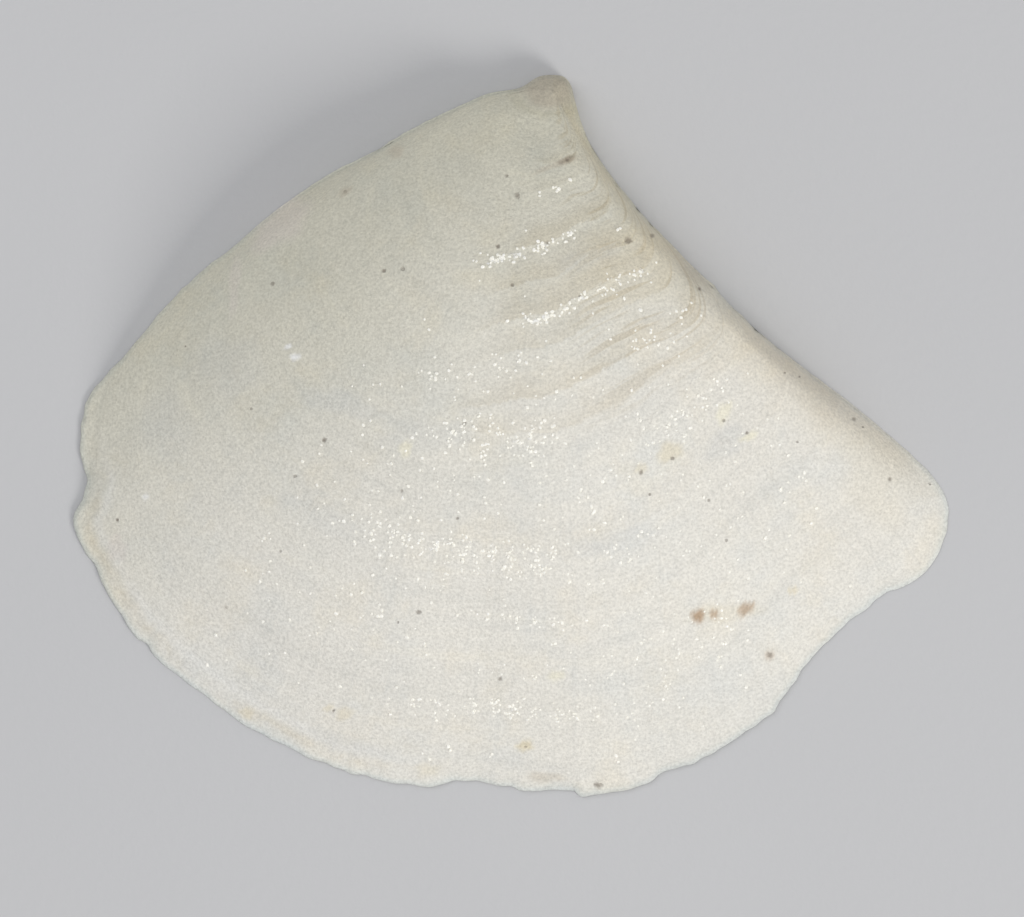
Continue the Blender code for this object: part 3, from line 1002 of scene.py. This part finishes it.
def hollowed(graph, sizes, geometry, plan, under):
    """Raise the underside to its share of the outer height over it, with its pits and scars."""
    cover = part_of(graph, geometry, "FACE", under < 0.01)
    _, _, ceiling = graph.parts(straight_above(graph, cover, plan, "Hit Position"))
    share = known(graph, "share")
    hollow = sizes["Hollow share"] * (1.0 - share * share) ** sizes["Hollow roundness"]
    lift = hollow * ceiling + sizes["Socket depth"] * socket_field(graph, plan)
    lift = lift + sizes["Scar depth"] * scar_field(graph, plan, share) * (share < 0.999)
    return moved(graph, geometry, under > 0.5, Offset=graph.upright(lift))


def with_relief(graph, sizes, geometry, plan, size, outer, inland):
    """Raise ribs, growth lines and swellings, and keep where they and the grains are."""
    direction = rearward(graph, plan)
    stage = stage_field(graph, plan, size, direction)
    rear_share = turning(graph, direction, *RIBBED_REAR)
    ribs, brown_shaded_side = rib_profile(graph, stage, rear_share)
    off_beak = graph.ease(reach_from_pole(graph, plan), *SMOOTH_BEAK)
    off_edge = RIBS_AT_EDGE + (1.0 - RIBS_AT_EDGE) * graph.ease(inland, *RIBS_INLAND)
    patchy = 0.55 + 0.9 * graph.noise(plan, 9.0, 2.0, 0.5)
    normal = graph.add("GeometryNodeInputNormal")
    _, _, upward = graph.parts(normal)
    flatness = RIB_ON_WALL + (1.0 - RIB_ON_WALL) * graph.maths("MAXIMUM", upward, 0.0)
    lines = streaks(graph, stage * 46.0, direction * 1.6, 3.0, 0.6) - 0.5
    lines = lines * (0.6 + rear_share)
    swelling = graph.noise(plan, 2.6, 2.0, 0.5) - 0.5
    relief = sizes["Rib height"] * ribs * patchy * flatness * off_edge
    relief = relief + 2.0 * sizes["Growth line height"] * lines
    relief = relief + 2.0 * sizes["Swelling height"] * swelling
    off_lip = graph.ease(1.0 - size, 0.0, PLAIN_LIP)
    height = relief * off_beak * off_lip * graph.ease(inland, *RELIEF_INLAND)
    geometry = moved(graph, geometry, outer, Offset=normal * height)

    geometry = keep(graph, geometry, "stage", stage)
    geometry = keep(graph, geometry, "brown_shaded_side", brown_shaded_side * off_beak * off_edge)
    # Frosted rows: partly white granular wear, partly painted glints where the lights catch the
    # valve.
    clumps = graph.ease(graph.noise(plan, 17.0, 2.0, 0.5), 0.36, 0.60)
    frost_and_glints = frost_and_glint_field(graph, stage, direction) * clumps * outer
    frost_and_glints = frost_and_glints * graph.ease(inland, *GRAINS_INLAND)
    return keep(graph, geometry, "frost_and_glints", frost_and_glints)


def growth_tree(outer_material, inner_material):
    """Return the tree that grows the valve from its sheet."""
    graph, sizes = new_tree("valve_growth", GROWTH)
    size = known(graph, "size")
    under = known(graph, "under")
    outer = under < 0.5
    _, plan = present_place(graph)

    # Place the outer face and round it off.
    place = grown_place(graph, sizes, margin_at(graph, size), size)
    grown = moved(graph, sizes["Geometry"], outer, Position=place)
    grown = kept_inside(graph, grown, plan, outer, size, under)
    inland = from_rim(graph, grown, plan, size, under, "Distance")
    grown = rounded_top(graph, sizes, grown, outer, size, inland)
    grown = single_beak(graph, sizes, grown, outer, size)
    grown = shouldered(graph, sizes, grown, outer, inland, plan)

    # Fit the underside to it, and then raise what stands out from it.
    grown = hollowed(graph, sizes, grown, plan, under)
    grown = keep(graph, grown, "inland", inland)
    grown = with_relief(graph, sizes, grown, plan, size, outer, inland)

    grown = finished(graph, grown, outer_material)
    grown = finished(graph, grown, inner_material, under > 0.5)
    grown = scaled(graph, grown, MM)
    group_output(graph, graph.add("GeometryNodeRealizeInstances", None, {"Geometry": grown}))
    return graph.tree


def grown_mesh(item, tree, sizes):
    """Run a tree on an object with its named sizes, and leave the object a plain mesh."""
    step = item.modifiers.new(tree.name, "NODES")
    step.node_group = tree
    for socket in tree.interface.items_tree:
        if socket.name in sizes:
            step[socket.identifier] = sizes[socket.name]
    evaluated = item.evaluated_get(bpy.context.evaluated_depsgraph_get())
    data = bpy.data.meshes.new_from_object(evaluated)
    item.modifiers.clear()
    item.data = data
    return item


def linked(name, data):
    """Put a mesh in the scene."""
    item = bpy.data.objects.new(name, data)
    bpy.context.scene.collection.objects.link(item)
    return item


def new_material(name):
    """Return a new material with the graph of its nodes."""
    material = bpy.data.materials.new(name)
    material.use_nodes = True
    return material, Graph(material.node_tree)


def finish_material(graph, colour, roughness, normal=None, **constants):
    """End a material with a Principled BSDF."""
    tree = graph.tree
    shader = tree.nodes.new("ShaderNodeBsdfPrincipled")
    for name, value in {"Base Color": colour, "Roughness": roughness, "Normal": normal}.items():
        if isinstance(value, Value):
            tree.links.new(value.socket, shader.inputs[name])
        elif value is not None:
            shader.inputs[name].default_value = value
    for name, value in constants.items():
        shader.inputs[name.replace("_", " ")].default_value = value
    end = tree.nodes.new("ShaderNodeOutputMaterial")
    tree.links.new(shader.outputs["BSDF"], end.inputs["Surface"])


def placed(graph):
    """Return the place on the valve that is shaded, in millimetres, and its place in plan."""
    place = graph.add("ShaderNodeTexCoord", None, None, "Object") * (1.0 / MM)
    return place, place * IN_PLAN


def carried(graph, name, output="Fac"):
    """Return what the shaded surface knows under a name."""
    return graph.add("ShaderNodeAttribute", {"attribute_name": name}, None, output)


def tinted(graph, colour, share, tint):
    """Return a colour that is multiplied by one of the tints where the share is 1."""
    return graph.mix(share, colour, colour * TINTS[tint], "RGBA")


def bumped(graph, height):
    """Return the normal of a surface with small relief, whose height is in micrometres."""
    values = {"Strength": 1.0, "Distance": MICROMETRE, "Height": height}
    return graph.add("ShaderNodeBump", None, values)


def edge_pits(graph, plan):
    """Return 1 in the middle of a pit close to the upper edges, and 0 outside them."""
    pits = []
    for x, y, radius in EDGE_PITS:
        away = graph.distance(plan, (*on_valve(x, y), 0.0)) / (radius * PIXEL)
        pits.append(1.0 - graph.ease(away, *PIT_EDGE))
    return graph.largest(pits)


def broad_colour(graph, plan):
    """Return the colour of the chalk: whitest below, greyer and creamier up to the beak, partly its
    own colour and partly painted shade where it faces away from the lights.
    """
    drift = 0.7 * (graph.noise(plan, 1.1, 2.0) - 0.5)
    upward = graph.dot(plan, (-0.43, 0.85, 0.0)) + drift
    # Darker and greyer up to the beak: partly colour, partly painted shade.
    colour = graph.mix(graph.ease(upward, -0.5, 1.6), CHALK, UMBO_GREY_AND_SHADE, "RGBA")
    cool = graph.ease(graph.noise(plan, 2.3, 4.0, 0.6), 0.46, 0.70)
    colour = tinted(graph, colour, cool, "cool clouds")
    warm = graph.ease(graph.noise(plan + (7.0, 3.0, 0.0), 3.4, 4.0, 0.6), 0.48, 0.72)
    return tinted(graph, colour, warm, "warm clouds")


def grown_colour(graph, colour, plan, stage, direction, inland):
    """Return a colour with bands along the growth lines, threads across them, dull edges, and rib
    sides and creases that are partly browner and partly painted shade.
    """
    bands = streaks(graph, stage * 36.0, direction * 1.4, 4.0, 0.65)
    colour = tinted(graph, colour, graph.ease(bands, 0.48, 0.74), "dark bands")
    colour = tinted(graph, colour, 1.0 - graph.ease(bands, 0.26, 0.50), "pale bands")
    threads = streaks(graph, direction * 95.0, stage * 5.0, 2.0, 0.5)
    colour = tinted(graph, colour, graph.ease(threads, 0.50, 0.70), "threads")
    rear = turning(graph, direction, 22.0, 33.0)
    patchy = 0.4 + 1.2 * graph.noise(plan, 6.0, 3.0)
    _, up, _ = graph.parts(plan)
    above_tip = graph.ease(up, -0.30, 0.05)
    edge = (1.0 - graph.ease(inland, 0.02, 0.30)) * rear * patchy
    colour = tinted(graph, colour, edge * above_tip, "rear edge")
    # Long sides of the ribs, tinted partly browner and partly as painted shade.
    brown_and_shade = graph.ease(carried(graph, "brown_shaded_side") * patchy, 0.05, 1.0)
    colour = tinted(graph, colour, brown_and_shade, "browned and shaded rib sides")
    # Thin dark lines in the grooves of the fine ribs near the beak: painted shade, partly browner
    # lines.
    shaded_brown_creases = streaks(graph, stage * 85.0, direction * 2.2, 2.0, 0.5, 3.0)
    ribbed = turning(graph, direction, 0.0, 14.0) * (1.0 - graph.ease(stage, 0.42, 0.56))
    return tinted(graph, colour, graph.ease(shaded_brown_creases, 0.53, 0.61) * ribbed, "shaded_brown_creases")


def margin_colour(graph, colour, plan, direction, inland):
    """Return a colour with the thin lower margin and the last growth bands at the front."""
    _, up, _ = graph.parts(plan)
    lower = 1.0 - graph.ease(up, -0.30, 0.10)
    wander = inland + 0.050 * (graph.noise(plan, 4.0, 3.0) - 0.5)
    thin = 1.0 - graph.ease(wander, 0.008, 0.050)
    colour = tinted(graph, colour, thin * lower, "thin margin")
    front = turning(graph, -direction, 6.0, 18.0)
    patchy = graph.ease(graph.noise(plan, 5.0, 3.0, 0.6), 0.40, 0.66) * front * lower
    colour = tinted(graph, colour, graph.bell(wander, 0.060, 0.030) * patchy, "last band")
    pale = graph.bell(wander, 0.110, 0.024) * front * lower
    return graph.mix(0.20 * pale, colour, FROST_WHITE, "RGBA")


def beak_colour(graph, colour, plan):
    """Return a colour with the tan cap of the beak, where the shell of the larva was."""
    arm = (plan - (*on_valve(549, 90), 0.0)) * (1.0 / 0.150, 1.0 / 0.105, 0.0)
    reach = graph.length(arm) + 0.5 * (graph.noise(plan, 9.0, 2.0) - 0.5)
    cap = 1.0 - graph.ease(reach, 0.55, 1.15)
    colour = graph.mix(cap * 0.85, colour, BEAK_TAN, "RGBA")
    _, up, _ = graph.parts(arm)
    crescent = graph.bell(reach, 1.15, 0.18) * graph.ease(-up, -0.2, 0.5)
    return tinted(graph, colour, crescent, "beak crescent")


def chalk_material():
    """Return the finish of the worn outer face."""
    material, graph = new_material("chalky_shell")
    place, plan = placed(graph)
    stage = carried(graph, "stage")
    inland = carried(graph, "inland")
    direction = rearward(graph, plan)

    colour = broad_colour(graph, plan)
    colour = grown_colour(graph, colour, plan, stage, direction, inland)
    colour = margin_colour(graph, colour, plan, direction, inland)
    colour = beak_colour(graph, colour, plan)
    fringe = 1.0 - graph.ease(inland, 0.004, 0.028)
    colour = tinted(graph, colour, fringe, "fringe")
    colour = colour * (1.0 - carried(graph, "mark_cover")) + carried(graph, "mark_paint", "Vector")
    grain = graph.noise(place, 78.0, 2.0, 0.7)
    colour = colour * (0.66 + 0.68 * grain)
    lumps = graph.noise(place, 46.0, 2.0, 0.5)
    # Whiter flecks: partly white grains, partly painted glints along the frosted rows.
    flour_and_glints = graph.ease(lumps + 0.36 * carried(graph, "frost_and_glints"), 0.80, 0.90)
    colour = graph.mix(0.75 * flour_and_glints, colour, FROST_WHITE, "RGBA")
    into_pit = graph.length(carried(graph, "pit_arm", "Vector")) + 1.6 * (lumps - 0.5)
    pits = (1.0 - graph.ease(into_pit, *PIT_EDGE)) * (carried(graph, "pit_reach") < 2.3)
    pits = graph.maths("MAXIMUM", pits, edge_pits(graph, plan))
    # Pits painted dark: partly brown stain, partly painted shade in the hollows.
    depth_of_pit = 0.15 + 0.90 * graph.noise(plan, 11.0, 1.0)
    colour = graph.mix(depth_of_pit * pits, colour, PIT_BROWN_AND_SHADE, "RGBA")

    roughness = 0.66 - 0.15 * flour_and_glints + 0.20 * (lumps - 0.5)
    striae = streaks(graph, stage * 210.0, direction * 5.0, 2.0, 0.6)
    relief = 3.4 * grain + 3.0 * lumps + 2.0 * striae + 1.2 * flour_and_glints - 4.0 * pits
    normal = bumped(graph, relief)
    finish_material(graph, colour, roughness, normal, Specular_IOR_Level=0.35)
    return material


def frost_and_glint_material():
    """Return the finish of the frosted grains, with a faint glow that is a painted glint."""
    material, graph = new_material("frosted_grain_with_painted_glint")
    place, _ = placed(graph)
    clear = graph.noise(place, 40.0, 2.0, 0.6)
    colour = graph.mix(0.85 * clear, FROST_WHITE, CREAM, "RGBA")
    normal = bumped(graph, 1.5 * graph.noise(place, 220.0, 2.0, 0.6))
    # The faint white glow of the grains is a painted glint.
    finish_material(
        graph, colour, 0.22 + 0.20 * clear, normal,
        Specular_IOR_Level=0.8, Emission_Color=(1.0, 0.98, 0.94, 1.0), Emission_Strength=0.12,
    )
    return material


def glaze_material():
    """Return the finish of the smooth inner face and of the flat rim."""
    material, graph = new_material("inner_glaze")
    place, plan = placed(graph)
    share = carried(graph, "share")
    flat = graph.ease(share, 0.985, 0.999)
    scars = scar_field(graph, plan, share) * (1.0 - flat)
    cloud = graph.noise(plan, 2.6, 4.0, 0.6)
    colour = graph.mix(graph.ease(cloud, 0.35, 0.72), INNER_WHITE, INNER_GREY, "RGBA")
    colour = tinted(graph, colour, scars, "muscle scars")
    colour = tinted(graph, colour, flat, "flat rim")
    colour = tinted(graph, colour, socket_field(graph, plan), "hinge pits")
    colour = colour * (0.90 + 0.20 * graph.noise(place, 60.0, 2.0, 0.6))
    rays = streaks(graph, rearward(graph, plan) * 40.0, share * 3.0, 2.0, 0.5)
    relief = graph.noise(place, 24.0, 3.0, 0.6) + 0.8 * rays + scars
    roughness = 0.24 + 0.14 * cloud + 0.25 * flat
    normal = bumped(graph, relief)
    finish_material(graph, colour, roughness, normal, Coat_Weight=0.12, Specular_IOR_Level=0.5)
    return material


def floor_material():
    """Return the finish of the plain pale floor."""
    material, graph = new_material("pale_floor")
    place, plan = placed(graph)
    shade = 0.97 + 0.06 * graph.noise(plan, 0.3, 2.0)
    normal = bumped(graph, 2.0 * graph.noise(place, 20.0, 2.0))
    colour = shade * FLOOR_GREY
    finish_material(graph, colour, 0.85, normal, Specular_IOR_Level=0.2)
    return material


def random_value(graph, seed, kind="FLOAT", **limits):
    """Return a random number or vector for each point."""
    return graph.add("FunctionNodeRandomValue", {"data_type": kind}, {"Seed": seed, **limits})


def grain_tree(material):
    """Return the tree that scatters frosted grains, partly painted glints, over the rows where the
    valve has them.
    """
    graph, sizes = new_tree("frost_and_glint_grains", GRAINS)
    ground = scaled(graph, sizes["Geometry"], 1.0 / MM)
    values = {"Mesh": ground, "Density": known(graph, "frost_and_glints") * sizes["Density"], "Seed": 3}
    points = graph.add("GeometryNodeDistributePointsOnFaces", None, values, "Points")
    outputs = points.socket.node.outputs
    upright = Value(graph, next(socket for socket in outputs if socket.name == "Rotation"))
    _, plan = present_place(graph)
    wave = graph.maths("COSINE", rearward(graph, plan) * sizes["Columns"])
    chance = 1.0 - sizes["Column share"] * (0.5 - 0.5 * wave)
    wide = random_value(graph, 7) ** SMALL_GRAINS
    wide = sizes["Least size"] + wide * (sizes["Most size"] - sizes["Least size"])
    least, most = GRAIN_SHAPES
    uneven = random_value(graph, 9, "FLOAT_VECTOR", Min=least, Max=most)
    least, most = GRAIN_TURNS
    leaning = random_value(graph, 11, "FLOAT_VECTOR", Min=least, Max=most)
    leaning = graph.add("FunctionNodeEulerToRotation", None, {"Euler": leaning})
    values = {"Rotation": upright, "Rotate By": leaning}
    turned = graph.add("FunctionNodeRotateRotation", {"rotation_space": "LOCAL"}, values)
    grain = graph.add("GeometryNodeMeshIcoSphere", None, {"Radius": 1.0, "Subdivisions": 1})
    values = {
        "Points": points,
        "Selection": random_value(graph, 5) < chance,
        "Instance": grain,
        "Rotation": turned,
        "Scale": uneven * wide,
    }
    grains = graph.add("GeometryNodeInstanceOnPoints", None, values)
    grains = graph.add("GeometryNodeRealizeInstances", None, {"Geometry": grains})
    group_output(graph, finished(graph, scaled(graph, grains, MM), material))
    return graph.tree


def make_valve():
    """Grow the valve."""
    data = ungrown_sheet()
    refined_at_sockets(data)
    valve = linked("valve_surface", data)
    grown_mesh(valve, growth_tree(chalk_material(), glaze_material()), GROWTH)
    mark_pits(valve.data)
    mark_stains(valve.data)
    valve.data.shade_smooth()
    return valve


def make_grains(valve):
    """Scatter the frosted grains, which carry painted glints, over the valve's rows."""
    grains = linked("frosted_glinting_grains", valve.data.copy())
    return grown_mesh(grains, grain_tree(frost_and_glint_material()), GRAINS)


# Marks on the valve


def points_in_plan(data):
    """Return where the points of a mesh lie in plan, in millimetres."""
    places = np.empty(3 * len(data.vertices))
    data.vertices.foreach_get("co", places)
    return places.reshape(-1, 3)[:, :2] / MM


def add_known(data, name, values):
    """Let the points of a mesh know a number or a vector under a name."""
    kind, part = ("FLOAT_VECTOR", "vector") if values.ndim == 2 else ("FLOAT", "value")
    data.attributes.new(name, kind, "POINT").data.foreach_set(part, values.astype(np.float32).ravel())


def mark_pits(data):
    """Let each point know the way to it from the nearest pit, in radii of that pit."""
    plan = points_in_plan(data)
    nearest = np.full((len(plan), 3), 1000.0)
    reach = np.linalg.norm(nearest, axis=1)
    for x, y, radius in PITS:
        arm = np.column_stack(((plan - on_valve(x, y)) / (radius * PIXEL), np.zeros(len(plan))))
        here = np.linalg.norm(arm, axis=1)
        closer = here < reach
        nearest[closer] = arm[closer]
        reach = np.minimum(reach, here)
    add_known(data, "pit_arm", nearest)
    add_known(data, "pit_reach", reach)


def mark_stains(data):
    """Let each point know the colour of the stains and patches on it, and how far they cover it."""
    plan = points_in_plan(data)
    random = np.random.default_rng(4)
    paint = np.zeros((len(plan), 3))
    cover = np.zeros(len(plan))
    for x, y, half_width, half_height, turn, colour, strength in MARKS:
        arm = plan - on_valve(x, y)
        turn = math.radians(turn)
        along = (arm[:, 0] * math.cos(turn) + arm[:, 1] * math.sin(turn)) / (half_width * PIXEL)
        across = (arm[:, 1] * math.cos(turn) - arm[:, 0] * math.sin(turn)) / (half_height * PIXEL)
        around = np.arctan2(across, along)
        lobes = sum(
            LOBE_DEPTH * np.sin(waves * around + random.uniform(0.0, 2.0 * math.pi))
            for waves in MARK_LOBES
        )
        share = strength * (1.0 - ease(np.hypot(along, across) + lobes, *MARK_EDGE))
        paint += share[:, None] * (np.array(colour) - paint)
        cover += share * (1.0 - cover)
    add_known(data, "mark_paint", paint)
    add_known(data, "mark_cover", cover)


# The stage


def aim(item, target):
    """Turn a light or the camera towards a point."""
    item.rotation_euler = (Vector(target) - item.location).to_track_quat("-Z", "Y").to_euler()


def soft_box(name, place, side, watts, colour):
    """Add a square soft light that points at the valve."""
    data = bpy.data.lights.new(name, "AREA")
    data.shape = "SQUARE"
    data.size = side * MM
    data.energy = watts
    data.color = colour
    light = linked(name, data)
    light.location = Vector(place) * MM
    aim(light, (0.0, 0.0, 0.0))


def make_floor():
    """Lay the floor."""
    mesh = bmesh.new()
    bmesh.ops.create_circle(mesh, cap_ends=True, segments=64, radius=FLOOR_RADIUS * MM)
    data = bpy.data.meshes.new("floor")
    mesh.to_mesh(data)
    mesh.free()
    floor = linked("floor", data)
    floor.location.z = -FLOOR_DEPTH * MM
    data.materials.append(floor_material())


def make_lights():
    """Hang the soft lights and light up the sky."""
    for light in LIGHTS:
        soft_box(*light)
    world = bpy.data.worlds.new("studio")
    world.use_nodes = True
    sky = world.node_tree.nodes["Background"].inputs
    sky["Color"].default_value = SKY
    sky["Strength"].default_value = SKY_STRENGTH
    bpy.context.scene.world = world
    bpy.context.scene.view_settings.view_transform = "Standard"


def make_camera():
    """Set up the camera straight above the middle of the picture."""
    data = bpy.data.cameras.new("camera")
    data.lens = LENS
    data.sensor_width = FILM
    data.clip_start, data.clip_end = (reach * MM for reach in NEAR_AND_FAR)
    camera = linked("camera", data)
    x, y = on_valve(PICTURE_SIZE[0] / 2, PICTURE_SIZE[1] / 2)
    camera.location = Vector((x, y, PICTURE_SIZE[0] * PIXEL * LENS / FILM)) * MM
    bpy.context.scene.camera = camera


valve = make_valve()
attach(valve, "root")
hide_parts("left_valve")
grains = make_grains(valve)
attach(grains, "root")
make_floor()
make_lights()
make_camera()
